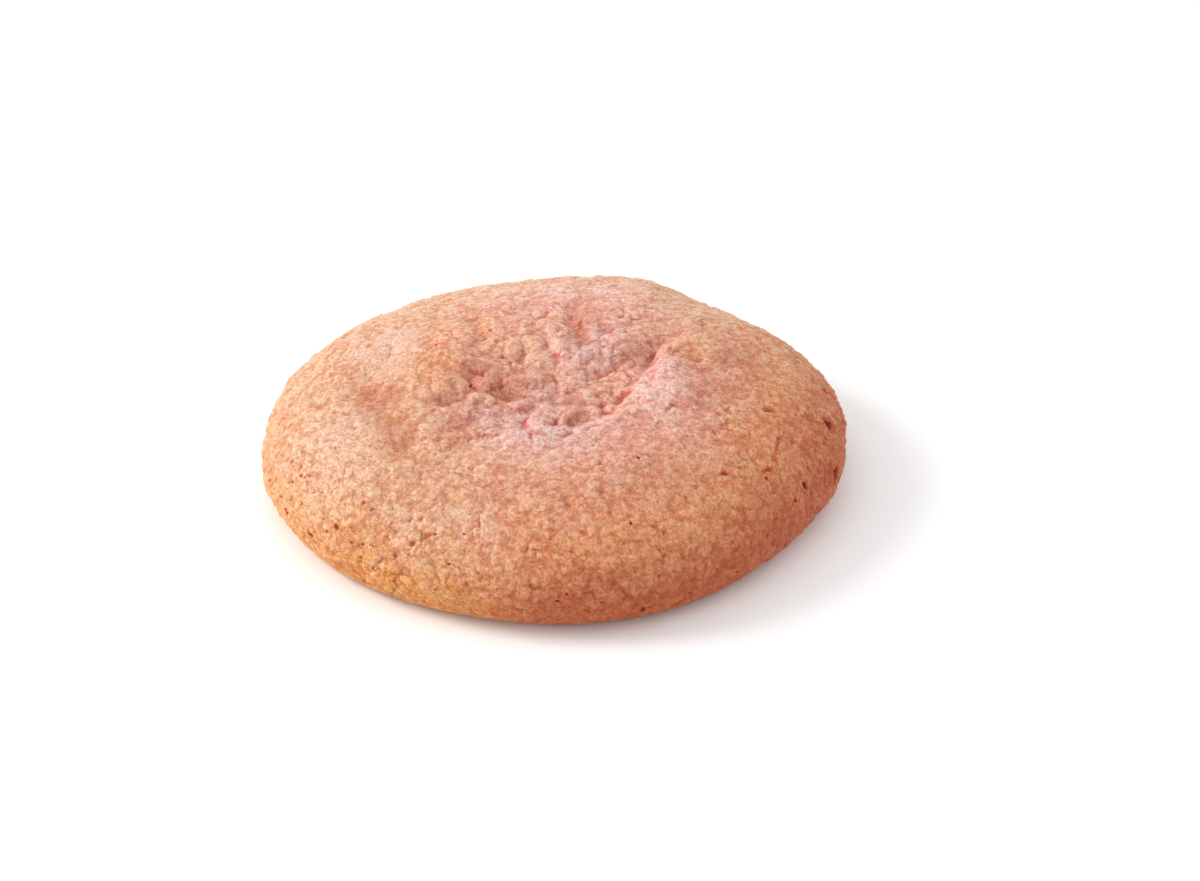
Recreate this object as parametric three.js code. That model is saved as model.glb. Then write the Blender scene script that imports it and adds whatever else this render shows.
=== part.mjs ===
// A soft sweet potato cookie: one baked mound, crusted outside, with a sunken and crumbly middle.
// Millimetres, +Z up. The origin is the middle of the flat base, and the front of the cookie faces -Y.
import * as THREE from "three";
import { ImprovedNoise } from "three/addons/math/ImprovedNoise.js";

// Driving dimensions
const RIM_RADIUS = 33; // mean radius where the side bulges out furthest
const RIM_HEIGHT = 4.6; // height of that bulge
const CROWN_HEIGHT = 17.2; // height of the dome, before its middle sinks
const BASE_RADIUS = 28.5; // mean radius of the flat base
const CROWN_SQUARENESS = 2; // superellipse exponents: 2 is an ellipse, more is boxier
const SIDE_SQUARENESS = 2.2;

// Waves round the edge: how many, how far they swing, and the direction of one crest in degrees.
const OUTLINE_WAVES = [
  { count: 2, swing: 0.7, crest: 11 },
  { count: 3, swing: 0.25, crest: -27 },
  { count: 4, swing: 0.4, crest: 7 },
  { count: 5, swing: 0.27, crest: 6 },
];
const SHOULDER_WAVES = [
  { count: 1, swing: 2, crest: -74 },
  { count: 2, swing: 1.05, crest: 1 },
  { count: 3, swing: 0.7, crest: 55 },
];

// Broad dips (rise below 0) and swells of the top, seen from above: their middle, their reach each way,
// and their turn in degrees.
const SWELLS = [
  { x: -1, y: -7.5, reachX: 13, reachY: 10, turn: 0, rise: -2.1 }, // the sunken middle
  { x: -11.5, y: -2, reachX: 3.8, reachY: 5.5, turn: 0, rise: 1 }, // island left of the middle
  { x: -19.8, y: -6.5, reachX: 2.4, reachY: 2.4, turn: 0, rise: -0.4 }, // deepest of the dent beside it
  { x: 13.5, y: -7, reachX: 5, reachY: 6, turn: -30, rise: 0.6 }, // shoulder right of the long crack
  { x: 7.9, y: 1.6, reachX: 3.2, reachY: 1.7, turn: 52, rise: 0.7 }, // ridge beside the long crack
  { x: 1.3, y: -0.6, reachX: 1.7, reachY: 1.6, turn: 0, rise: 0.8 },
  { x: 17.9, y: 2.3, reachX: 2.4, reachY: 2.2, turn: 0, rise: 0.5 },
  { x: 16.6, y: -2, reachX: 2, reachY: 1.6, turn: 0, rise: -0.4 },
  { x: 2.5, y: -11.9, reachX: 1.9, reachY: 1.2, turn: 15, rise: -1.1 }, // hole where the long crack ends
  { x: -5.2, y: -6.2, reachX: 2, reachY: 1.4, turn: -50, rise: -0.9 },
  { x: -9.4, y: -4.1, reachX: 0.9, reachY: 0.9, turn: 0, rise: -0.8 },
  { x: -14, y: 2.1, reachX: 0.9, reachY: 0.9, turn: 0, rise: -0.5 },
  { x: 20, y: 20, reachX: 4, reachY: 7, turn: 45, rise: -0.6 }, // flats and bulges round the edge
  { x: -2, y: 27.5, reachX: 6, reachY: 5, turn: 0, rise: -0.55 },
  { x: -27, y: 14, reachX: 4, reachY: 6, turn: -25, rise: -0.3 },
  { x: 11, y: 26, reachX: 4, reachY: 5, turn: 0, rise: 0.4 },
  { x: 33, y: 4, reachX: 4, reachY: 4, turn: 0, rise: 0.5 },
  { x: 33, y: -9, reachX: 4, reachY: 5, turn: 0, rise: 0.5 },
];

// Cracks and ridges along lines on the top: reach each side of the line, and each of its points' x, y and
// rise, which is below 0 in a crack.
const FOLDS = [
  {
    reach: 0.9,
    line: [
      [14.6, 5.2, -0.5],
      [11.9, 2.6, -1],
      [11.4, -0.6, -1.3],
      [9.4, -3.8, -0.5],
      [7.8, -8, -1.1],
      [5.8, -10.6, -0.4],
      [2.6, -11.9, -0.8],
    ],
  },
  {
    reach: 1.9,
    line: [
      [16.2, 4.4, 0.3],
      [13.7, 1.4, 0.6],
      [13.1, -1.6, 0.6],
      [11.1, -5.2, 0.5],
      [9.6, -9.2, 0.5],
      [7, -12, 0.35],
      [3.8, -13.8, 0.3],
    ],
  },
  {
    reach: 2.6, // dent in the left shoulder
    line: [
      [-22.5, -2, -0.6],
      [-21, -5, -0.8],
      [-17.8, -10.5, -0.8],
      [-14, -18, -0.5],
    ],
  },
  {
    reach: 0.8,
    line: [
      [9.8, 0.2, -0.2],
      [7.2, -1.7, -0.7],
      [4.1, -3.4, -0.6],
    ],
  },
  {
    reach: 0.8,
    line: [
      [-15, -8, -0.4],
      [-11.8, -8.4, -1],
      [-9.5, -6, -0.5],
      [-5.1, -6.2, -0.7],
    ],
  },
  {
    reach: 0.7,
    line: [
      [-13.2, -13.6, -0.3],
      [-11, -12.5, -0.7],
      [-8.8, -11.9, -0.3],
    ],
  },
  {
    reach: 0.7,
    line: [
      [-3.1, -13, -0.6],
      [-3.4, -11, -0.8],
      [-2.7, -9.1, -0.6],
      [-5.5, -10.2, -0.4],
    ],
  },
  {
    reach: 0.8,
    line: [
      [-1.4, 4.4, -0.4],
      [-0.8, 2.2, -0.8],
      [0.3, -0.3, -0.6],
    ],
  },
  {
    reach: 1.1,
    line: [
      [2.4, 12, -0.4],
      [2, 7.4, -0.8],
      [3.8, 3.2, -0.6],
    ],
  },
  {
    reach: 0.9,
    line: [
      [-9.5, 13.3, -0.2],
      [-9.4, 8.4, -0.5],
      [-8.4, 2.4, -0.5],
    ],
  },
];
const FOLD_WANDER = { size: 3, swing: 0.7 }; // how far the folds' lines stray from side to side

// Crumbs that heap up in the middle, and the uneven skin all over.
const CRUMB_SIZE = 2.8;
const CRUMB_RISE = 0.9;
const CRUMB_FIELD = { x: -1, y: -3.5, reachX: 18, reachY: 16, turn: 0, rise: 1 };
const SKIN_WAVES = [
  { size: 8, rise: 0.35 },
  { size: 3, rise: 0.2 },
];

// Size of the triangles' edges
const CRUST_EDGE = 1.3;
const MIDDLE_EDGE = 0.85;
const MIDDLE_REACH = 15; // radius of the finer triangles
const BASE_RINGS = 4;

const noise = new ImprovedNoise();
const smooth = THREE.MathUtils.smoothstep;

function wave(waves, angle) {
  let sum = 0;
  for (const { count, swing, crest } of waves) {
    sum += swing * Math.cos(count * (angle - THREE.MathUtils.degToRad(crest)));
  }
  return sum;
}

// The side view, from the middle of the top (t = 0) over the rim (t = 0.5) to the edge of the base (t = 1).
class SideProfile extends THREE.Curve {
  getPoint(t, target = new THREE.Vector2()) {
    if (t < 0.5) {
      const angle = t * Math.PI;
      const power = 2 / CROWN_SQUARENESS;
      return target.set(
        RIM_RADIUS * Math.sin(angle) ** power,
        RIM_HEIGHT + (CROWN_HEIGHT - RIM_HEIGHT) * Math.max(0, Math.cos(angle)) ** power,
      );
    }
    const angle = (t - 0.5) * Math.PI;
    const power = 2 / SIDE_SQUARENESS;
    return target.set(
      BASE_RADIUS + (RIM_RADIUS - BASE_RADIUS) * Math.max(0, Math.cos(angle)) ** power,
      RIM_HEIGHT * (1 - Math.sin(angle) ** power),
    );
  }
}

// Each ring of vertices has a radius, a height, an outward direction and the length of its triangles' edges.
// They run from the middle of the top to the middle of the base.
function makeRings() {
  const profile = new SideProfile();
  profile.arcLengthDivisions = 800;
  const length = profile.getLength();
  const rings = [];
  for (let along = MIDDLE_EDGE; along < length; ) {
    const point = profile.getPointAt(along / length);
    const tangent = profile.getTangentAt(along / length);
    const edge = point.x < MIDDLE_REACH ? MIDDLE_EDGE : CRUST_EDGE;
    rings.push({ radius: point.x, height: point.y, out: new THREE.Vector2(-tangent.y, tangent.x), edge });
    along += edge * 0.87;
  }
  for (let i = BASE_RINGS; i > 0; i--) {
    const edge = i === BASE_RINGS ? CRUST_EDGE : BASE_RADIUS / BASE_RINGS;
    rings.push({ radius: (BASE_RADIUS * i) / BASE_RINGS, height: 0, out: new THREE.Vector2(0, -1), edge });
  }
  return rings;
}

// A number from 0 to 1 that is always the same for the same whole numbers.
function scatter(column, row, use) {
  const value = Math.sin(column * 127.1 + row * 311.7 + use * 74.7) * 43758.5453;
  return value - Math.floor(value);
}

function swellAt(swell, x, y) {
  const turn = THREE.MathUtils.degToRad(swell.turn);
  const dx = x - swell.x;
  const dy = y - swell.y;
  const across = (dx * Math.cos(turn) + dy * Math.sin(turn)) / swell.reachX;
  const along = (dy * Math.cos(turn) - dx * Math.sin(turn)) / swell.reachY;
  return swell.rise * Math.exp(-(across ** 2) - along ** 2);
}

function foldAt({ reach, line }, x, y) {
  const { size, swing } = FOLD_WANDER;
  const strayX = swing * noise.noise(x / size, y / size, 0.5);
  const strayY = swing * noise.noise(x / size, y / size, 7.5);
  const point = new THREE.Vector3(x + strayX, y + strayY, 0);
  const nearest = new THREE.Vector3();
  const piece = new THREE.Line3();
  let distance = Infinity;
  let rise = 0;
  for (let i = 0; i + 1 < line.length; i++) {
    const [startX, startY, startRise] = line[i];
    const [endX, endY, endRise] = line[i + 1];
    piece.start.set(startX, startY, 0);
    piece.end.set(endX, endY, 0);
    const along = piece.closestPointToPointParameter(point, true);
    piece.at(along, nearest);
    if (nearest.distanceTo(point) < distance) {
      distance = nearest.distanceTo(point);
      rise = THREE.MathUtils.lerp(startRise, endRise, along);
    }
  }
  return rise * Math.exp(-((distance / reach) ** 2));
}

// Rounded lumps with creases between them, from about -0.5 in the creases to 0.5 on the highest lumps.
function crumbAt(x, y) {
  const column = Math.floor(x / CRUMB_SIZE);
  const row = Math.floor(y / CRUMB_SIZE);
  let nearest = Infinity;
  let second = Infinity;
  let height = 0;
  for (let i = column - 2; i <= column + 2; i++) {
    for (let j = row - 2; j <= row + 2; j++) {
      const dx = x / CRUMB_SIZE - i - scatter(i, j, 0);
      const dy = y / CRUMB_SIZE - j - scatter(i, j, 1);
      const distance = Math.hypot(dx, dy);
      if (distance < nearest) {
        second = nearest;
        nearest = distance;
        height = scatter(i, j, 2);
      } else {
        second = Math.min(second, distance);
      }
    }
  }
  return Math.sqrt(Math.min(1, second - nearest)) * (0.6 + 0.6 * height) - 0.5;
}

// How far the surface stands out from the smooth dome.
function reliefAt({ x, y, z }) {
  let relief = CRUMB_RISE * crumbAt(x, y) * Math.min(1, 1.5 * swellAt(CRUMB_FIELD, x, y) ** 2);
  for (const swell of SWELLS) {
    relief += swellAt(swell, x, y);
  }
  for (const fold of FOLDS) {
    relief += foldAt(fold, x, y);
  }
  for (const { size, rise } of SKIN_WAVES) {
    relief += rise * noise.noise(x / size, y / size, z / size);
  }
  return relief;
}

// A point of the smooth, uneven dome before any relief.
function domePoint({ radius, height }, angle) {
  const share = radius / RIM_RADIUS;
  const reach = radius * (1 + (wave(OUTLINE_WAVES, angle) / RIM_RADIUS) * share);
  const above = Math.max(0, (height - RIM_HEIGHT) / (CROWN_HEIGHT - RIM_HEIGHT));
  const lift = share * share * above * wave(SHOULDER_WAVES, angle);
  return new THREE.Vector3(reach * Math.cos(angle), reach * Math.sin(angle), height + lift);
}

// The middle of the dome's outline, which everything else is measured from.
function findMiddle() {
  const outline = new THREE.Box3();
  for (let degrees = 0; degrees < 360; degrees++) {
    const angle = THREE.MathUtils.degToRad(degrees);
    outline.expandByPoint(domePoint({ radius: RIM_RADIUS, height: RIM_HEIGHT }, angle));
  }
  return outline.getCenter(new THREE.Vector3()).setZ(0);
}

// A vertex of the finished surface: the relief fades out down to the base, which stays flat.
function place(ring, angle, middle) {
  const point = domePoint(ring, angle).sub(middle);
  const out = new THREE.Vector3(ring.out.x * Math.cos(angle), ring.out.x * Math.sin(angle), ring.out.y);
  return point.addScaledVector(out, reliefAt(point) * smooth(ring.height, 0, RIM_HEIGHT));
}

// Joins two rings of vertices with triangles, turning round both together.
function stitch(triangles, inner, outer) {
  let i = 0;
  let o = 0;
  while (i < inner.count || o < outer.count) {
    const a = inner.first + (i % inner.count);
    const b = outer.first + (o % outer.count);
    if ((o + 1) / outer.count <= (i + 1) / inner.count) {
      o += 1;
      triangles.push(a, b, outer.first + (o % outer.count));
    } else {
      i += 1;
      triangles.push(a, b, inner.first + (i % inner.count));
    }
  }
}

function makeCookie() {
  const centre = { radius: 0, height: CROWN_HEIGHT, out: new THREE.Vector2(0, 1) };
  const middle = findMiddle();
  const positions = place(centre, 0, middle).toArray();
  const triangles = [];
  let inner = { first: 0, count: 1 };
  for (const ring of makeRings()) {
    const count = Math.max(6, Math.round((2 * Math.PI * ring.radius) / ring.edge));
    const outer = { first: positions.length / 3, count };
    for (let i = 0; i < count; i++) {
      positions.push(...place(ring, (2 * Math.PI * i) / count, middle).toArray());
    }
    stitch(triangles, inner, outer);
    inner = outer;
  }
  stitch(triangles, inner, { first: positions.length / 3, count: 1 });
  positions.push(0, 0, 0);
  const geometry = new THREE.BufferGeometry();
  geometry.setAttribute("position", new THREE.Float32BufferAttribute(positions, 3));
  geometry.setIndex(triangles);
  geometry.computeBoundingBox();
  const centred = geometry.boundingBox.getCenter(new THREE.Vector3());
  geometry.translate(-centred.x, -centred.y, 0);
  geometry.computeVertexNormals();
  return geometry;
}

const crust = new THREE.MeshStandardMaterial({ color: 0xdc9c78, roughness: 0.85, metalness: 0 });
const cookie = new THREE.Mesh(makeCookie(), crust);
cookie.name = "cookie";

const part = new THREE.Group();
part.add(cookie);
export default part;
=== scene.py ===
"""A soft sweet potato cookie, dressed for a studio photograph: crumbs, cracks, pores and a browned crust."""
import math

import bmesh
import bpy
import numpy as np
from mathutils import Euler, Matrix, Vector


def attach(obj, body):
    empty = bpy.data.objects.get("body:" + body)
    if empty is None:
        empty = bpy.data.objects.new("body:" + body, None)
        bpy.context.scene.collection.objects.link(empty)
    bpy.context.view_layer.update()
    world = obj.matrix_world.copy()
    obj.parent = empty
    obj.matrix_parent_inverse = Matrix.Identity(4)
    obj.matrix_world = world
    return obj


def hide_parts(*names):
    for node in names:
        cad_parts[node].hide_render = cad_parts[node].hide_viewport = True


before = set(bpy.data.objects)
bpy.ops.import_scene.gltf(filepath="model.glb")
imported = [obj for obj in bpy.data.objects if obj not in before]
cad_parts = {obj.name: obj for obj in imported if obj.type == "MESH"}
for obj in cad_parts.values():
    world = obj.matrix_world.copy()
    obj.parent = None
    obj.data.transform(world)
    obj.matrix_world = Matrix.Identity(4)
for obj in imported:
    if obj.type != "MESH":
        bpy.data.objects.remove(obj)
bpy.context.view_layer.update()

MM = 0.001
RNG = np.random.default_rng(7)

# Where the cookie's features lie, in millimetres seen from above: +X right, -Y towards the camera. Each field
# is its middle's x and y, its reach in x and y, and its strength.
CRUMB_FIELD = (-1.0, -3.5, 17.0, 15.5, 1.0)
SMOOTH_FIELDS = [  # shoulders where the skin is whole
    (13.5, -5.0, 4.2, 7.0, 0.7),
    (7.5, -15.5, 5.5, 3.4, 0.7),
    (-12.2, -1.5, 3.6, 4.6, 0.7),
]
FILLED_FIELDS = [  # dents made shallower, by these heights in mm
    (2.3, -10.5, 1.9, 1.3, 0.28), (-13.3, -7.3, 1.9, 1.2, 0.22), (-6.4, -5.1, 2.2, 1.3, 0.22),
]
PINK_FIELDS = [
    (-1.0, -13.5, 9.0, 5.0, 1.0), (11.5, -6.0, 4.5, 7.5, 1.0), (4.0, 2.0, 6.0, 5.0, 1.0),
    (2.0, 16.0, 12.0, 7.0, 0.7), (-19.0, 4.5, 4.0, 5.0, 0.5), (-23.0, 11.0, 4.0, 5.0, 0.25),
    (-23.5, -11.0, 3.5, 5.0, 0.35),
]
# Mauve patches: painted shade, darker on slopes and in hollows that face away from the light.
SHADE_MAUVE_FIELDS = [
    (-8.5, -11.0, 4.5, 3.0, 1.0), (-1.0, -7.0, 5.0, 3.5, 0.8), (1.0, -14.5, 4.0, 2.5, 0.7),
    (5.0, 1.5, 3.5, 4.0, 0.8),
]
# Rose patches: partly the crust's own red and partly painted shade, in cracks, dents and hollows and on
# slopes that face away from the light.
ROSE_AND_SHADE_FIELDS = [
    (9.2, -2.4, 1.3, 2.6, 1.0), (-5.1, -5.5, 2.2, 1.4, 1.0), (2.8, -10.4, 1.6, 1.0, 1.0),
    (-13.6, -7.8, 2.6, 1.0, 1.0), (-12.5, -13.9, 2.5, 0.8, 1.0), (3.0, 7.0, 1.2, 2.5, 1.0),
    (-20.3, -5.5, 3.0, 4.5, 1.0), (-14.7, -20.2, 4.0, 2.5, 0.45), (-3.6, -22.0, 5.0, 2.5, 0.25),
    (7.4, -20.5, 4.0, 2.5, 0.35), (-17.8, -12.0, 2.4, 5.0, 1.0), (-11.0, -14.0, 3.0, 3.0, 1.0),
    (17.0, -4.0, 2.0, 4.5, 1.0), (9.4, 0.2, 2.4, 3.8, 1.0), (2.6, -10.8, 2.0, 1.6, 1.0),
    (3.0, 8.0, 1.5, 5.0, 1.0), (-7.0, -4.0, 4.0, 2.5, 1.0), (22.0, 2.0, 4.0, 4.0, 1.0),
]
TAN_FIELDS = [
    (16.6, 2.5, 2.6, 2.6, 1.0), (-13.8, -2.2, 2.8, 3.2, 1.0), (-9.0, 6.0, 1.6, 4.0, 1.0),
    (-13.5, 5.0, 3.0, 3.0, 1.0), (-2.0, 2.0, 3.0, 4.0, 0.35), (15.6, 1.0, 1.2, 2.6, 1.0),
    (26.0, 2.0, 4.0, 5.0, 0.9),
]
# Paler places, and darker ones where the strength is below zero.
PALE_FIELDS = [
    (-19.8, 3.5, 3.5, 3.5, 0.8), (-22.9, -12.8, 3.0, 4.0, 0.3), (-28.5, -17.2, 4.0, 5.0, 0.25),
    (-16.0, 10.1, 4.0, 5.0, 0.3), (-4.0, 1.0, 3.0, 3.5, 0.7), (0.7, -15.4, 3.0, 2.0, 0.4),
    (9.7, -15.7, 3.0, 3.0, -0.4), (-1.3, -30.4, 3.0, 1.3, -0.4), (-8.3, -11.4, 3.0, 2.5, -0.35),
    (-6.0, -31.9, 2.5, 3.0, -0.6), (-7.9, -28.3, 3.0, 2.0, 0.5), (-0.5, -32.2, 2.0, 1.2, 0.3),
    (-21.3, -25.7, 4.0, 3.0, -0.55), (26.0, 0.5, 4.0, 7.0, -0.4), (-12.0, -2.0, 3.0, 3.0, -0.2),
    (-17.0, -2.0, 2.0, 2.0, 0.2),
]

# Cracks: reach each side in mm, then the x, y and depth in mm of the points that each runs through.
CRACKS = [
    (0.56, [(13.6, 4.4, 0.05), (12.4, 3.4, 0.2), (11.6, 2.2, 0.45), (11.2, 0.4, 0.8),
            (10.7, -1.4, 0.5)]),
    (0.48, [(10.7, -1.4, 0.45), (9.9, -3.2, 0.25), (8.9, -5.6, 0.35), (7.9, -7.8, 0.7),
            (7.3, -9.2, 0.35)]),
    (0.42, [(7.3, -9.2, 0.2), (6.0, -10.6, 0.1), (4.4, -11.2, 0.15), (2.8, -10.9, 0.15),
            (1.2, -10.2, 0.1)]),
    (0.39, [(9.3, 0.0, 0.05), (7.4, -1.5, 0.3), (5.8, -2.6, 0.4), (4.3, -3.4, 0.45), (3.4, -4.8, 0.1)]),
    (0.42, [(-15.2, -7.8, 0.1), (-13.2, -7.9, 0.12), (-11.8, -8.0, 0.2), (-10.2, -7.2, 0.3),
            (-9.3, -5.8, 0.1)]),
    (0.39, [(-9.8, -3.9, 0.2), (-9.4, -5.0, 0.5), (-8.2, -5.9, 0.2), (-7.0, -5.8, 0.2),
            (-5.1, -6.0, 0.3)]),
    (0.36, [(-13.2, -13.6, 0.1), (-11.8, -12.8, 0.35), (-10.4, -12.4, 0.3), (-8.6, -11.9, 0.1)]),
    (0.39, [(-3.1, -13.0, 0.4), (-3.4, -11.0, 0.55), (-2.7, -9.8, 0.2), (-3.2, -8.9, 0.4),
            (-5.5, -10.2, 0.1)]),
    (0.39, [(-1.6, 4.8, 0.1), (-1.1, 3.4, 0.5), (-0.5, 1.8, 0.2), (0.2, 0.0, 0.55), (1.5, -0.8, 0.1)]),
    (0.48, [(2.6, 12.4, 0.1), (1.9, 10.4, 0.35), (2.1, 8.0, 0.2), (2.4, 6.0, 0.4), (3.6, 3.8, 0.2)]),
    (0.39, [(-9.4, 13.3, 0.05), (-9.8, 10.4, 0.2), (-9.3, 7.8, 0.1), (-8.2, 4.2, 0.3),
            (-8.6, 2.2, 0.05)]),
    (0.22, [(25.9, -9.0, 0.2), (25.5, -11.4, 0.9), (24.6, -13.3, 0.3), (24.6, -14.5, 0.8),
            (23.4, -16.7, 0.5)]),
    (0.24, [(23.4, -16.7, 0.5), (22.9, -18.0, 0.1)]),
    (0.3, [(18.0, -18.9, 0.2), (18.8, -18.5, 0.9), (19.6, -18.3, 0.2)]),
    (0.32, [(23.6, -6.9, 0.3), (24.4, -6.6, 1.2), (25.1, -6.2, 0.3)]),
    (0.26, [(17.8, -12.4, 0.2), (18.1, -12.9, 0.7), (18.3, -13.5, 0.2)]),
]

# Pits: x, y, z of the middle, radius and depth in mm, and the turn in degrees of the long way from level.
PITS = [
    (-9.4, -5.1, 15.3, 0.4, 0.4, 60), (-13.6, 1.7, 16.3, 0.42, 0.4, 50), (-7.6, 5.1, 16.3, 0.4, 0.35, 20),
    (9.4, -18.9, 14.7, 0.28, 0.5, 70), (8.4, -27.1, 11.6, 0.24, 0.4, 60),
    (3.4, -28.4, 11.2, 0.55, 0.16, 15), (-31.1, -9.7, 9.0, 0.26, 0.25, 20),
    (-28.8, -13.1, 9.8, 0.28, 0.25, 90), (-28.5, -14.4, 9.5, 0.3, 0.28, 100),
    (-32.8, -10.1, 5.8, 0.28, 0.25, 70), (-29.9, -14.1, 8.5, 0.24, 0.22, 30),
    (-23.8, -17.9, 11.1, 0.38, 0.2, 80), (-26.1, -18.3, 9.6, 0.24, 0.2, 0),
    (-31.4, -14.0, 6.1, 0.25, 0.25, 60), (-30.6, -15.7, 5.2, 0.42, 0.4, 110),
    (-28.7, -17.2, 7.5, 0.24, 0.22, 20), (-26.0, -20.4, 7.9, 0.24, 0.22, 0),
    (-20.1, -22.6, 10.2, 0.22, 0.25, 0), (-24.3, -22.3, 7.7, 0.42, 0.32, 120),
    (-27.8, -19.9, 4.7, 0.6, 0.45, 130), (-22.5, -24.2, 7.1, 0.25, 0.25, 0),
    (-21.2, -25.0, 7.3, 0.28, 0.25, 20), (-19.8, -25.6, 7.7, 0.24, 0.22, 0),
    (-15.6, -27.0, 8.9, 0.46, 0.25, 0), (-13.8, -26.8, 9.8, 0.5, 0.22, 10),
    (-13.0, -26.8, 10.1, 0.3, 0.35, 20), (-17.4, -27.3, 7.3, 0.28, 0.25, 0),
    (-21.6, -25.5, 5.8, 0.3, 0.3, 0), (-23.2, -24.4, 5.2, 0.25, 0.25, 40),
    (-20.2, -26.7, 5.2, 0.28, 0.28, 0), (-18.8, -27.5, 5.0, 0.32, 0.3, -20),
    (-17.7, -28.0, 4.4, 0.22, 0.25, 0), (-16.3, -28.6, 5.8, 0.24, 0.22, 10),
    (-11.3, -29.4, 8.0, 0.28, 0.22, 0), (-9.5, -27.6, 10.5, 0.26, 0.2, 0),
    (-12.8, -30.1, 4.8, 0.28, 0.25, 0), (-15.4, -28.8, 2.6, 0.25, 0.25, 0),
    (0.6, -32.7, 5.2, 0.28, 0.3, 0), (1.4, -32.5, 6.1, 0.24, 0.22, 0), (31.6, -4.0, 9.5, 0.8, 0.7, 55),
    (31.2, -6.7, 9.1, 0.45, 0.5, 75), (31.6, 2.8, 9.4, 0.55, 0.5, 100), (28.6, -14.4, 7.9, 0.6, 0.7, 100),
    (27.2, -16.8, 7.5, 0.4, 0.5, 80), (32.2, -8.9, 5.6, 1.0, 0.6, 70), (23.9, -17.0, 10.5, 0.28, 0.45, 0),
    (21.5, -0.6, 14.6, 0.26, 0.25, 40), (23.3, -1.1, 14.0, 0.24, 0.22, 30),
    (9.8, -31.1, 2.9, 0.35, 0.5, 0),
]
PIT_DEPTH = 1.2  # times the listed depth
PIT_STRETCH = 1.25  # how much longer than round a pit is, and narrower across
CRACK_DEPTHS = (0.2, 0.6)  # times the listed depth, where the crust is most whole and most broken

PORE_COUNT = 260  # small pores scattered over the side, more of them low down
PORE_RADII = (0.14, 0.3)
PORE_DEPTH = 0.75  # times its radius

# Lumps of the crust, in millimetres: clumps in the crumbly middle, and crumbs and grains all over.
CLUMP_SIZE = 3.0
CRUMB_SIZE = 1.3
GRAIN_SIZE = 0.75
CLUMP_RELIEF, CLUMP_CREASE = 0.62, 0.2  # how high each stands, and how much more it rises from its crease
CRUMB_RELIEF, CRUMB_CREASE = 0.22, 0.08
GRAIN_RELIEF, GRAIN_CREASE = 0.17, 0.06
LUMP_MIDDLE = 0.6  # the height on a lump that stays at the solid's surface
CREASE_MIDDLE = 0.5  # and the rise from its crease that does

# Heights in mm at which something starts and is full.
RELIEF_HEIGHTS = (0.15, 2.2)  # all relief, clear of the flat base
GRITTY_HEIGHTS = (12.5, 7.0)  # rougher grains on the side
CRACK_HEIGHTS = (6, 9)
PATCH_HEIGHTS = (6, 10)  # patches of colour
PORE_HEIGHTS = (12.5, 5.5)

# Where the crust draws in: bearing and spread in degrees, how far in mm, and the heights in mm at which it
# starts and is full.
DRAWN_IN = [(222, 30, 0.5, 12, 6), (150, 35, 0.2, 15, 10)]

# Bearings of the colours and pores, in degrees from +X.
# The toasted and browned sides are darker both from the oven's browning and from painted shade on the right,
# away from the key light.
TOASTED_AND_SHADED_SIDE, TOASTED_AND_SHADED_SPREAD = -1, 58
BROWNED_AND_SHADED_SIDE = 313
GOLDEN_SIDE, GOLDEN_SPREAD = 240, 45
PEACHY_SIDE, PEACHY_SPREAD = 256, 20
PORED_SIDE, PORED_SPREAD = -150, 40
RIGHT_SIDE, RIGHT_SPREAD = -10, 35

# The camera and the light, in millimetres and degrees.
CAMERA_ELEVATION = 34
CAMERA_DISTANCE = 390.3
CAMERA_TARGET = (5.2, -0.4, 4.6)
LIGHT_PLACE = (-550, 50, 380)
LIGHT_TARGET = (0, 0, 10)
LIGHT_SIZE = 300
LIGHT_WATTS = 2.8
LIGHT_COLOUR = (1.0, 0.98, 0.95)
FLOOR_REACH = 3000


def smoothstep(value, low, high):
    """0 at low, 1 at high and smooth between; high may be the smaller of the two."""
    t = np.clip((value - low) / (high - low), 0, 1)
    return t * t * (3 - 2 * t)


def bell(points, field):
    """The field's strength at its middle, falling to 0 away from it."""
    x, y, reach_x, reach_y, strength = field
    return strength * np.exp(-(((points[:, 0] - x) / reach_x) ** 2) - ((points[:, 1] - y) / reach_y) ** 2)


def around(angle, middle):
    """How many degrees an angle is from the middle one, -180 to 180."""
    return (angle - middle + 180) % 360 - 180


def facing(angle, middle, spread):
    """1 on the side that faces the middle angle, falling to 0 away from it."""
    return np.exp(-((around(angle, middle) / spread) ** 2))


# ---- Noise, the same on every run
def lattice(cells, seed):
    """Three numbers from 0 to 1 for each whole-number cell."""
    c = cells.astype(np.int64)
    h = (c[..., 0] * 73856093) ^ (c[..., 1] * 19349663) ^ (c[..., 2] * 83492791) ^ (seed * 2654435761)
    out = []
    for salt in (1, 2, 3):
        v = (h + salt * 374761393) & 0xFFFFFFFF
        v = ((v ^ (v >> 15)) * 2246822519) & 0xFFFFFFFF
        v = ((v ^ (v >> 13)) * 3266489917) & 0xFFFFFFFF
        out.append(((v ^ (v >> 16)) & 0xFFFFFF) / 0xFFFFFF)
    return np.stack(out, -1)


def noise(points, size, seed):
    """Gradient noise, about -1 to 1."""
    p = points / size
    base = np.floor(p)
    f = p - base
    w = f * f * f * (f * (f * 6 - 15) + 10)
    total = np.zeros(len(p))
    for corner in np.ndindex(2, 2, 2):
        corner = np.array(corner)
        gradient = lattice(base + corner, seed) * 2 - 1
        share = np.prod(np.where(corner == 1, w, 1 - w), axis=1)
        total += share * np.sum(gradient * (f - corner), axis=1)
    return total * 1.6


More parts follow.
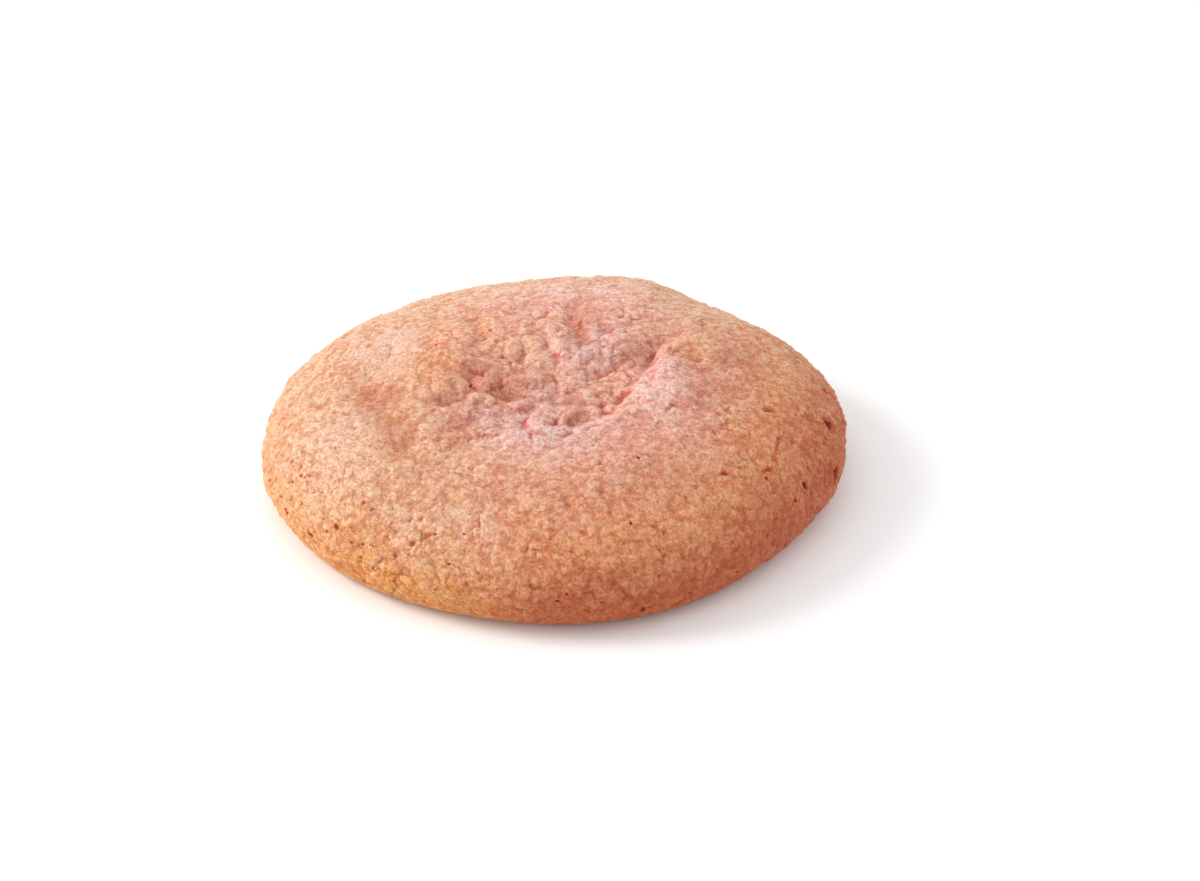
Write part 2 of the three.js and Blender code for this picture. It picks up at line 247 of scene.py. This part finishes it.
def lumps(points, size, seed):
    """Round grains packed together, some higher than others: the height on the grain, the rise from the
    crease round it, and how near the point is to a corner where three grains meet."""
    p = points / size
    base = np.floor(p)
    nearest, second, third = (np.full(len(p), 9.0) for _ in range(3))
    tone = np.zeros(len(p))
    for step in np.ndindex(3, 3, 3):
        cell = base + np.array(step) - 1
        distance = np.linalg.norm(cell + lattice(cell, seed) - p, axis=1)
        tone = np.where(distance < nearest, lattice(cell, seed + 50)[:, 0], tone)
        third = np.minimum(third, np.maximum(second, distance))
        second = np.minimum(second, np.maximum(nearest, distance))
        nearest = np.minimum(nearest, distance)
    grain = np.sqrt(np.clip(1 - (nearest / 0.95) ** 2, 0, 1)) * (0.7 + 0.5 * tone)
    crease = np.sqrt(np.clip(second - nearest, 0, 1))
    corner = np.exp(-(((third - nearest) / 0.13) ** 2))
    return grain, crease, corner


# ---- Mesh helpers
def loop_subdivide(points, triangles):
    """One step of Loop subdivision of a closed triangle mesh."""
    sides = np.concatenate([triangles[:, [0, 1]], triangles[:, [1, 2]], triangles[:, [2, 0]]])
    opposite = np.concatenate([triangles[:, 2], triangles[:, 0], triangles[:, 1]])
    edges, which = np.unique(np.sort(sides, axis=1), axis=0, return_inverse=True)
    which = which.ravel()
    across = np.zeros((len(edges), 3))
    np.add.at(across, which, points[opposite])
    middles = 0.375 * (points[edges[:, 0]] + points[edges[:, 1]]) + 0.125 * across
    valence = np.bincount(edges.ravel(), minlength=len(points))
    ring = np.zeros_like(points)
    np.add.at(ring, edges[:, 0], points[edges[:, 1]])
    np.add.at(ring, edges[:, 1], points[edges[:, 0]])
    share = np.where(valence == 3, 3 / 16, 3 / (8 * valence))[:, None]
    moved = (1 - valence[:, None] * share) * points + share * ring
    ab, bc, ca = which.reshape(3, -1) + len(points)
    a, b, c = triangles.T
    faces = np.concatenate([np.stack(t, 1) for t in ((a, ab, ca), (ab, b, bc), (ca, bc, c), (ab, bc, ca))])
    return np.concatenate([moved, middles]), faces


def normals_of(points, triangles):
    """The direction out of the surface at each point."""
    a, b, c = (points[triangles[:, k]] for k in range(3))
    across = np.cross(b - a, c - a)
    total = np.zeros_like(points)
    for k in range(3):
        np.add.at(total, triangles[:, k], across)
    return total / np.linalg.norm(total, axis=1, keepdims=True)


def smoothed(values, triangles, rounds):
    """Each vertex's value averaged with its neighbours', a number of times."""
    starts = triangles[:, [0, 1, 2]].ravel()
    ends = triangles[:, [1, 2, 0]].ravel()
    count = np.bincount(starts, minlength=len(values)) + np.bincount(ends, minlength=len(values))
    flat = values.reshape(len(values), -1)
    for _ in range(rounds):
        total = np.stack(
            [
                np.bincount(starts, column[ends], len(flat)) + np.bincount(ends, column[starts], len(flat))
                for column in flat.T
            ],
            1,
        )
        flat = 0.5 * flat + 0.5 * total / count[:, None]
    return flat.reshape(values.shape)


def split_where(points, triangles, chosen):
    """Splits the chosen triangles' edges in two, with the triangles round them joined up to match."""
    mesh = bmesh.new()
    vertices = [mesh.verts.new(p) for p in points]
    faces = [mesh.faces.new([vertices[i] for i in t]) for t in triangles]
    edges = list({e for f, pick in zip(faces, chosen) if pick for e in f.edges})
    bmesh.ops.subdivide_edges(mesh, edges=edges, cuts=1, use_grid_fill=True)
    bmesh.ops.triangulate(mesh, faces=mesh.faces[:])
    mesh.verts.index_update()
    out = np.array([v.co for v in mesh.verts]), np.array([[v.index for v in f.verts] for f in mesh.faces])
    mesh.free()
    return out


def line_distance(points, line):
    """Distance in plan from each point to a line, and the line's last value there, such as its depth."""
    line = np.array(line, float)
    best = np.full(len(points), 99.0)
    value = np.zeros(len(points))
    for a, b in zip(line[:-1], line[1:]):
        step = b[:2] - a[:2]
        t = np.clip(((points[:, :2] - a[:2]) @ step) / (step @ step), 0, 1)
        distance = np.linalg.norm(points[:, :2] - a[:2] - t[:, None] * step, axis=1)
        value = np.where(distance < best, a[-1] + t * (b[-1] - a[-1]), value)
        best = np.minimum(best, distance)
    return best, value


# ---- The cookie
def read_solid(node):
    """The points, in mm, and the triangles of a solid of the frame."""
    mesh = bmesh.new()
    mesh.from_mesh(node.data)
    bmesh.ops.remove_doubles(mesh, verts=mesh.verts[:], dist=0.001 * MM)
    bmesh.ops.triangulate(mesh, faces=mesh.faces[:])
    mesh.verts.index_update()
    points = np.array([v.co for v in mesh.verts]) / MM
    triangles = np.array([[v.index for v in f.verts] for f in mesh.faces])
    mesh.free()
    return points, triangles


def pit_axes(points, out, pits):
    """Each pit's middle on the surface and the direction of its long way."""
    placed = []
    for x, y, z, radius, depth, turn in pits:
        at = np.argmin(np.linalg.norm(points - (x, y, z), axis=1))
        level = np.cross((0, 0, 1), out[at]) + (1e-6, 0, 0)
        level /= np.linalg.norm(level)
        up = np.cross(out[at], level)
        turn = math.radians(turn)
        placed.append((points[at], math.cos(turn) * level + math.sin(turn) * up, radius, depth))
    return placed


def scatter_pores(points, out):
    """Small pores, most of them low on the left and on the right side."""
    x, y, z = points.T
    low = smoothstep(z, *PORE_HEIGHTS) * smoothstep(z, 0.6, 1.8)
    angle = np.degrees(np.arctan2(y, x))
    left = facing(angle, PORED_SIDE, PORED_SPREAD)
    right = facing(angle, RIGHT_SIDE, RIGHT_SPREAD)
    chance = low * (0.35 + 1.6 * left + 0.5 * right) * (1 + 0.7 * noise(points, 6.0, 61))
    chance = np.clip(chance + 0.03 * (z > 8), 0, None)
    picks = RNG.choice(len(points), PORE_COUNT, replace=False, p=chance / chance.sum())
    pores = []
    for pick in picks:
        radius = RNG.uniform(*PORE_RADII)
        pores.append((*points[pick], radius, PORE_DEPTH * radius, RNG.uniform(0, 180)))
    return pit_axes(points, out, pores)


def shape_cookie():
    """The dressed cookie's points and triangles, and how hollow, pitted and raised each point is; the crust
    paints shade in the hollows and pits and light on the raised tops.
    """
    points, triangles = read_solid(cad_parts["cookie"])
    for _ in range(2):
        points, triangles = loop_subdivide(points, triangles)
    out = normals_of(points, triangles)
    pits = pit_axes(points, out, PITS)
    pores = scatter_pores(points, out)

    # Finer triangles round the pits and cracks, and finer still round the pits that stand out.
    for holes, lines, spare in ((pits + pores, CRACKS, 0.2), (pits, [], 0.05)):
        middle = points[triangles].mean(1)
        near = np.zeros(len(triangles), bool)
        for centre, _, radius, _ in holes:
            near |= np.linalg.norm(middle - centre, axis=1) < 1.3 * radius + spare
        for reach, line in lines:
            near |= (line_distance(middle, line)[0] < reach) & (middle[:, 2] > 8)
        points, triangles = split_where(points, triangles, near)

    out = normals_of(points, triangles)
    side = smoothstep(points[:, 2], *RELIEF_HEIGHTS)
    warp = np.stack([noise(points, 1.7, 11 + k) for k in range(3)], 1)
    small_warp = np.stack([noise(points, 0.8, 41 + k) for k in range(3)], 1)
    crumbly = smoothstep(bell(points, CRUMB_FIELD) + 0.2 * noise(points, 5.0, 3), 0.18, 0.8)
    for field in SMOOTH_FIELDS:
        crumbly *= 1 - bell(points, field)
    clump, clump_crease, clump_corner = lumps(points + 0.7 * warp, CLUMP_SIZE, 21)
    crumb, crumb_crease, crumb_corner = lumps(points + 0.3 * warp + 0.1 * small_warp, CRUMB_SIZE, 22)
    grain, grain_crease, _ = lumps(points + 0.12 * small_warp, GRAIN_SIZE, 23)
    gritty = smoothstep(points[:, 2], *GRITTY_HEIGHTS)
    relief = crumbly * CLUMP_RELIEF * (clump - LUMP_MIDDLE)
    relief += crumbly * CLUMP_CREASE * (clump_crease - CREASE_MIDDLE)
    relief += CRUMB_RELIEF * (crumb - LUMP_MIDDLE) + CRUMB_CREASE * (crumb_crease - CREASE_MIDDLE)
    relief += (GRAIN_RELIEF - 0.07 * crumbly + 0.1 * gritty) * (grain - LUMP_MIDDLE)
    relief += (GRAIN_CREASE + 0.05 * gritty) * (grain_crease - CREASE_MIDDLE)
    relief += 0.13 * noise(points, 2.6, 31) + 0.1 * noise(points, 1.1, 32)

    for field in FILLED_FIELDS:
        relief += bell(points, field)

    angle = np.degrees(np.arctan2(points[:, 1], points[:, 0]))
    for bearing, spread, inward, high, low in DRAWN_IN:
        relief -= inward * facing(angle, bearing, spread) * smoothstep(points[:, 2], high, low)

    # Hollows where crumbs meet, some deep and most slight.
    some = smoothstep(noise(points, 2.2, 33), 0.1, 0.7)
    dug = (0.06 + 0.42 * some) * (0.12 + 0.88 * crumbly) * clump_corner
    dug = np.maximum(dug, (0.05 + 0.22 * some) * crumb_corner)

    wander = np.stack([noise(points, 3.4, 45 + k) for k in range(3)], 1)
    ragged = points + 0.35 * wander + 0.3 * warp + 0.2 * small_warp
    top = smoothstep(points[:, 2], *CRACK_HEIGHTS)
    whole_depth, broken_depth = CRACK_DEPTHS
    broken = whole_depth + (broken_depth - whole_depth) * smoothstep(noise(points, 1.5, 34), -0.5, 0.3)
    for reach, line in CRACKS:
        distance, depth = line_distance(ragged, line)
        dug = np.maximum(dug, top * broken * depth * np.exp(-((distance / reach) ** 2)))
    # Painted shade in the pits, stronger the deeper the pit.
    pit_darkening = np.zeros(len(points))
    rough = points + 0.15 * warp + 0.2 * small_warp
    for centre, axis, radius, depth in pits + pores:
        box = np.nonzero(np.all(np.abs(points - centre) < 2.2 * radius + 0.2, axis=1))[0]
        apart = rough[box] - centre
        along = apart @ axis
        across = apart - along[:, None] * axis
        distance = np.sqrt((along / PIT_STRETCH) ** 2 + np.sum(across**2, axis=1) * PIT_STRETCH)
        share = smoothstep(distance, radius, radius * 0.3)
        dug[box] = np.maximum(dug[box], PIT_DEPTH * depth * share)
        pit_darkening[box] = np.maximum(pit_darkening[box], share * np.clip((depth - 0.15) / 0.4, 0, 1))
    relief -= dug * side

    shaped = points + out * (relief * side)[:, None]
    shaped[:, 2] = np.maximum(shaped[:, 2], 0.0)
    inner = np.sum((shaped - smoothed(shaped, triangles, 6)) * out, axis=1)
    wide = np.sum((shaped - smoothed(shaped, triangles, 40)) * out, axis=1)
    # The raised share paints light on the tops of lumps and shade in their creases.
    return shaped, triangles, dict(
        hollow_shade=np.clip(dug / 0.4, 0, 1),
        pit_shade=pit_darkening,
        relief_light_and_shade=0.5 + 0.28 * np.clip(wide / 0.25, -1, 1) + 0.22 * np.clip(inner / 0.07, -1, 1),
    )


def colour_fields(points, fields):
    """Adds the share of each patch and of pale, creamy, golden and browned crust over the surface; the
    browning on the right is partly painted shade.
    """
    z = points[:, 2]
    blotch = noise(points, 7.0, 71) + 0.5 * noise(points, 3.0, 72)
    speckle = noise(points, 2.2, 73)
    angle = np.degrees(np.arctan2(points[:, 1], points[:, 0]))
    reach = np.hypot(points[:, 0], points[:, 1])
    patches = [
        ("pink", PINK_FIELDS, 0.2),
        ("shade_mauve", SHADE_MAUVE_FIELDS, 0.3),
        ("rose_and_shade", ROSE_AND_SHADE_FIELDS, 0.45),
        ("tan", TAN_FIELDS, 0.35),
    ]
    for name, shapes, ragged in patches:
        share = np.max([bell(points, shape) for shape in shapes], axis=0)
        share = np.clip(share * (1 + ragged * (blotch + speckle)), 0, 1)
        fields[name] = share * smoothstep(z, *PATCH_HEIGHTS)

    # The oven browned the low front and right most, and turned the low left golden. The darkening on the
    # right and low right is also painted shade, on the side away from the key light.
    right = facing(angle, TOASTED_AND_SHADED_SIDE, TOASTED_AND_SHADED_SPREAD) * smoothstep(reach, 16, 27)
    fields["toast_and_shade"] = np.clip((15.3 - z) / 12 + 0.34 * right + 0.07 * blotch, 0, 1)
    turn = around(angle, BROWNED_AND_SHADED_SIDE)
    fields["browned_and_shaded"] = smoothstep(turn + 6 * blotch, -72, -34) * smoothstep(turn, 92, 48)
    fields["paler"] = np.sum([bell(points, field) for field in PALE_FIELDS], axis=0)
    fields["cream"] = smoothstep(reach, 13, 20) * (1 - 0.45 * facing(angle, PEACHY_SIDE, PEACHY_SPREAD))
    fields["honey"] = fields["cream"] * (1 - fields["browned_and_shaded"])
    low_left = 0.5 + 0.5 * facing(angle, GOLDEN_SIDE, GOLDEN_SPREAD)
    fields["gold"] = np.clip((11.5 - z) / 9 + 0.08 * blotch, 0, 1) * low_left
    return fields


def add_mesh(name, points, triangles, fields):
    mesh = bpy.data.meshes.new(name)
    mesh.from_pydata((points * MM).tolist(), [], triangles.tolist())
    mesh.polygons.foreach_set("use_smooth", np.ones(len(triangles), bool))
    for field, values in fields.items():
        attribute = mesh.attributes.new(field, "FLOAT", "POINT")
        attribute.data.foreach_set("value", values.astype(np.float32))
    mesh.update()
    made = bpy.data.objects.new(name, mesh)
    bpy.context.scene.collection.objects.link(made)
    return made


# ---- Materials
class Nodes:
    """A material's node tree, with short ways to add what the crust needs."""

    def __init__(self, name):
        self.material = bpy.data.materials.new(name)
        self.material.use_nodes = True
        self.tree = self.material.node_tree
        self.shader = self.tree.nodes["Principled BSDF"]

    def add(self, kind, **settings):
        node = self.tree.nodes.new(kind)
        for key, value in settings.items():
            if hasattr(node, key):
                setattr(node, key, value)
            else:
                node.inputs[key.replace("_", " ")].default_value = value
        return node

    def link(self, source, target):
        self.tree.links.new(source, target)

    def field(self, name):
        return self.add("ShaderNodeAttribute", attribute_name=name).outputs["Fac"]

    def noise(self, place, size_mm, detail=2.0, roughness=0.5):
        node = self.add("ShaderNodeTexNoise", Scale=1 / (size_mm * MM), Detail=detail, Roughness=roughness)
        self.link(place, node.inputs["Vector"])
        return node.outputs["Fac"]

    def nudged(self, place, size_mm, by_mm):
        """The place pushed about by noise, so that round grains come out uneven."""
        wavy = self.add("ShaderNodeTexNoise", Scale=1 / (size_mm * MM), Detail=1.0)
        self.link(place, wavy.inputs["Vector"])
        nudge = self.add("ShaderNodeVectorMath", operation="MULTIPLY_ADD")
        self.link(wavy.outputs["Color"], nudge.inputs[0])
        nudge.inputs[1].default_value = (by_mm * MM,) * 3
        self.link(place, nudge.inputs[2])
        return nudge.outputs[0]

    def grains(self, place, size_mm):
        """Packed round grains: each one's height from 0 to 1, and a random tone for it."""
        node = self.add("ShaderNodeTexVoronoi", Scale=1 / (size_mm * MM))
        self.link(place, node.inputs["Vector"])
        height = self.span(self.sum(node.outputs["Distance"], 2.0, "POWER"), 0.6, 0.0)
        tone = self.add("ShaderNodeSeparateColor")
        self.link(node.outputs["Color"], tone.inputs[0])
        return height, tone.outputs[0]

    def seams(self, place, size_mm):
        """How far the point is from the seam between grains of that size, as a share of it."""
        node = self.add("ShaderNodeTexVoronoi", feature="DISTANCE_TO_EDGE", Scale=1 / (size_mm * MM))
        self.link(place, node.inputs["Vector"])
        return node.outputs["Distance"]

    def span(self, source, low, high, new_low=0.0, new_high=1.0):
        node = self.add("ShaderNodeMapRange")
        for key, value in zip(("From Min", "From Max", "To Min", "To Max"), (low, high, new_low, new_high)):
            node.inputs[key].default_value = value
        self.link(source, node.inputs["Value"])
        return node.outputs["Result"]

    def sum(self, a, b, operation="ADD"):
        node = self.add("ShaderNodeMath", operation=operation)
        for n, value in enumerate((a, b)):
            if isinstance(value, (int, float)):
                node.inputs[n].default_value = value
            else:
                self.link(value, node.inputs[n])
        return node.outputs[0]

    def mix(self, share, a, b, blend="MIX"):
        node = self.add("ShaderNodeMix", data_type="RGBA", blend_type=blend)
        for socket, value in ((node.inputs[0], share), (node.inputs[6], a), (node.inputs[7], b)):
            if isinstance(value, (int, float, tuple)):
                socket.default_value = value
            else:
                self.link(value, socket)
        return node.outputs[2]


def srgb(red, green, blue):
    """A colour given as 0 to 255 values, as the linear colour that shaders take."""
    parts = [c / 255 for c in (red, green, blue)]
    return tuple(c / 12.92 if c <= 0.04045 else ((c + 0.055) / 1.055) ** 2.4 for c in parts) + (1.0,)


PEACH = srgb(205, 148, 121)
APRICOT = srgb(204, 134, 89)
BROWN = srgb(170, 82, 40)
CREAM = srgb(201, 153, 118)
GOLD = srgb(204, 134, 66)
PINK = srgb(217, 170, 159)
# The mauve colour is painted shade.
SHADE_MAUVE = srgb(185, 142, 129)
TAN = srgb(204, 147, 104)
# The red of the rose patches is partly the crust's own colour and partly painted shade.
RED_AND_SHADE = srgb(189, 123, 95)

# Tints multiply the crust's own colour: darker and paler crumbs on most of the crust and on the left, with
# painted shade in the creases and painted light on raised tops; darker and lighter grains, the lightest
# partly painted glints; then painted shade at the bottoms of cracks and hollows, and of pits.
ROSY = (0.95, 0.79, 0.76, 1.0)
PALE = (1.05, 1.16, 1.21, 1.0)
HONEY = (0.94, 0.79, 0.67, 1.0)
BUTTER = (1.07, 1.17, 1.28, 1.0)
DARK = (0.85, 0.72, 0.68, 1.0)
LIGHT_AND_GLINT = (1.12, 1.33, 1.44, 1.0)
CREVICE_SHADE = (0.92, 0.4, 0.37, 1.0)
GOLDEN_PIT_SHADE = (0.96, 0.45, 0.32, 1.0)
BROWNED_PIT_SHADE = (0.45, 0.26, 0.21, 1.0)

# Sizes of the crust's colour and grain, in millimetres.
WAVE_SIZE = 1.6
MOTTLE_SIZE = 1.4
BROAD_SIZE = 3.0
LOBE_SIZE = 1.0
FINE_SIZE = 0.25
UNEVEN_SIZE, UNEVEN_REACH = 0.5, 0.3
BUMP_HEIGHT = 0.045
SUBSURFACE_REACH = 1.2


def crust_material():
    n = Nodes("baked_crust")
    place = n.add("ShaderNodeTexCoord").outputs["Object"]
    # Toasted colour: the crust's own browning low down and on the right, with painted shade on the right
    # side, away from the key light.
    wave = n.span(n.noise(place, WAVE_SIZE, 3, 0.6), 0.3, 0.7, -0.16, 0.16)
    toast_and_shade = n.sum(n.field("toast_and_shade"), wave)
    browned_and_shaded = n.mix(n.span(toast_and_shade, 0.0, 0.5), PEACH, APRICOT)
    browned_and_shaded = n.mix(n.span(toast_and_shade, 0.5, 1.0), browned_and_shaded, BROWN)
    left = n.mix(n.field("cream"), PEACH, CREAM)
    left = n.mix(n.sum(n.field("gold"), n.sum(wave, 1.8, "MULTIPLY")), left, GOLD)
    colour = n.mix(n.field("browned_and_shaded"), left, browned_and_shaded)
    # The mauve patches are painted shade and the rose patches are partly painted shade; the pink and tan
    # patches are the crust's own colour.
    for field, tone in (("pink", PINK), ("shade_mauve", SHADE_MAUVE), ("rose_and_shade", RED_AND_SHADE), ("tan", TAN)):
        colour = n.mix(n.sum(n.field(field), 0.8, "MULTIPLY"), colour, tone)

    # Rosy and pale crumbs, from patches of a few millimetres down to single grains. The seams between lobes
    # and the low places are painted darker, as painted shade, and the raised tops lighter, as painted light.
    place = n.nudged(place, UNEVEN_SIZE, UNEVEN_REACH)
    mottle = n.noise(place, MOTTLE_SIZE, 3, 0.6)
    broad = n.noise(place, BROAD_SIZE, 2, 0.5)
    fine, fine_tone = n.grains(place, FINE_SIZE)
    lobe, lobe_tone = n.grains(place, LOBE_SIZE)
    pale_and_lit = n.sum(n.span(mottle, 0.25, 0.75, 0.1, 0.9), n.span(broad, 0.3, 0.7, -0.5, 0.5))
    pale_and_lit = n.sum(pale_and_lit, n.span(lobe_tone, 0.0, 1.0, -0.3, 0.3))
    pale_and_lit = n.sum(pale_and_lit, n.span(n.seams(place, LOBE_SIZE), 0.0, 0.14, -0.35, 0.08))
    pale_and_lit = n.sum(pale_and_lit, n.span(n.field("relief_light_and_shade"), 0.1, 0.9, -0.9, 0.9))
    pale_and_lit = n.sum(pale_and_lit, n.field("paler"))
    shade = n.mix(n.field("honey"), ROSY, HONEY)
    shade = n.mix(n.span(pale_and_lit, 0.0, 1.0), shade, n.mix(n.field("honey"), PALE, BUTTER))
    colour = n.mix(1.0, colour, shade, "MULTIPLY")
    # Painted shade: cracks and hollows are darker and redder the deeper they are dug.
    colour = n.mix(n.span(n.field("hollow_shade"), 0.08, 0.9), colour, CREVICE_SHADE, "MULTIPLY")
    # Painted shade in the pits: orange on the golden side, dark brown on the right.
    colour = n.mix(n.field("pit_shade"), colour, n.mix(n.field("browned_and_shaded"), GOLDEN_PIT_SHADE, BROWNED_PIT_SHADE), "MULTIPLY")
    # Darker and lighter grains; the lightest are partly pale specks and partly painted glints.
    colour = n.mix(1.0, colour, n.mix(fine_tone, DARK, LIGHT_AND_GLINT), "MULTIPLY")
    n.link(colour, n.shader.inputs["Base Color"])

    n.link(n.span(fine_tone, 0.4, 1.0, 0.65, 0.36), n.shader.inputs["Roughness"])
    n.shader.inputs["Subsurface Weight"].default_value = 0.85
    n.shader.inputs["Subsurface Radius"].default_value = (1.0, 0.3, 0.18)
    n.shader.inputs["Subsurface Scale"].default_value = SUBSURFACE_REACH * MM
    n.shader.inputs["Specular IOR Level"].default_value = 0.4

    height = n.sum(n.sum(lobe, 1.2, "MULTIPLY"), n.sum(fine, 0.5, "MULTIPLY"))
    height = n.sum(height, n.sum(n.noise(place, 0.5, 3, 0.65), 2.0, "MULTIPLY"))
    bump = n.add("ShaderNodeBump", Strength=1.0, Distance=BUMP_HEIGHT * MM)
    n.link(height, bump.inputs["Height"])
    n.link(bump.outputs["Normal"], n.shader.inputs["Normal"])
    return n.material


def floor_material():
    n = Nodes("pale_floor")
    place = n.add("ShaderNodeTexCoord").outputs["Object"]
    tint = n.mix(n.span(n.noise(place, 40, 2), 0.3, 0.7), srgb(244, 244, 244), srgb(248, 248, 248))
    n.link(tint, n.shader.inputs["Base Color"])
    n.shader.inputs["Roughness"].default_value = 0.9
    return n.material


# ---- The scene
def add_light():
    data = bpy.data.lights.new("key", "AREA")
    data.shape = "DISK"
    data.size = LIGHT_SIZE * MM
    data.energy = LIGHT_WATTS
    data.color = LIGHT_COLOUR
    light = bpy.data.objects.new("key", data)
    light.location = Vector(LIGHT_PLACE) * MM
    to_target = Vector(LIGHT_TARGET) * MM - light.location
    light.rotation_euler = to_target.to_track_quat("-Z", "Y").to_euler()
    bpy.context.scene.collection.objects.link(light)


def add_camera():
    elevation = math.radians(CAMERA_ELEVATION)
    data = bpy.data.cameras.new("camera")
    data.lens = 100
    data.sensor_width = 36
    camera = bpy.data.objects.new("camera", data)
    back = Vector((0, -math.cos(elevation), math.sin(elevation)))
    camera.location = (Vector(CAMERA_TARGET) + back * CAMERA_DISTANCE) * MM
    camera.rotation_euler = Euler((math.pi / 2 - elevation, 0, 0))
    bpy.context.scene.collection.objects.link(camera)
    bpy.context.scene.camera = camera


def add_studio():
    mesh = bpy.data.meshes.new("floor")
    reach = FLOOR_REACH * MM
    corners = [(-reach, -reach, 0), (reach, -reach, 0), (reach, reach, 0), (-reach, reach, 0)]
    mesh.from_pydata(corners, [], [(0, 1, 2, 3)])
    mesh.materials.append(floor_material())
    floor = bpy.data.objects.new("floor", mesh)
    bpy.context.scene.collection.objects.link(floor)
    world = bpy.data.worlds.new("studio")
    world.use_nodes = True
    background = world.node_tree.nodes["Background"]
    background.inputs["Color"].default_value = (1.0, 1.0, 1.0, 1.0)
    background.inputs["Strength"].default_value = 1.0
    bpy.context.scene.world = world
    add_light()
    bpy.context.scene.view_settings.view_transform = "Standard"


points, triangles, fields = shape_cookie()
cookie = add_mesh("baked_cookie", points, triangles, colour_fields(points, fields))
cookie.data.materials.append(crust_material())
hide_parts("cookie")
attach(cookie, "root")

add_camera()
add_studio()
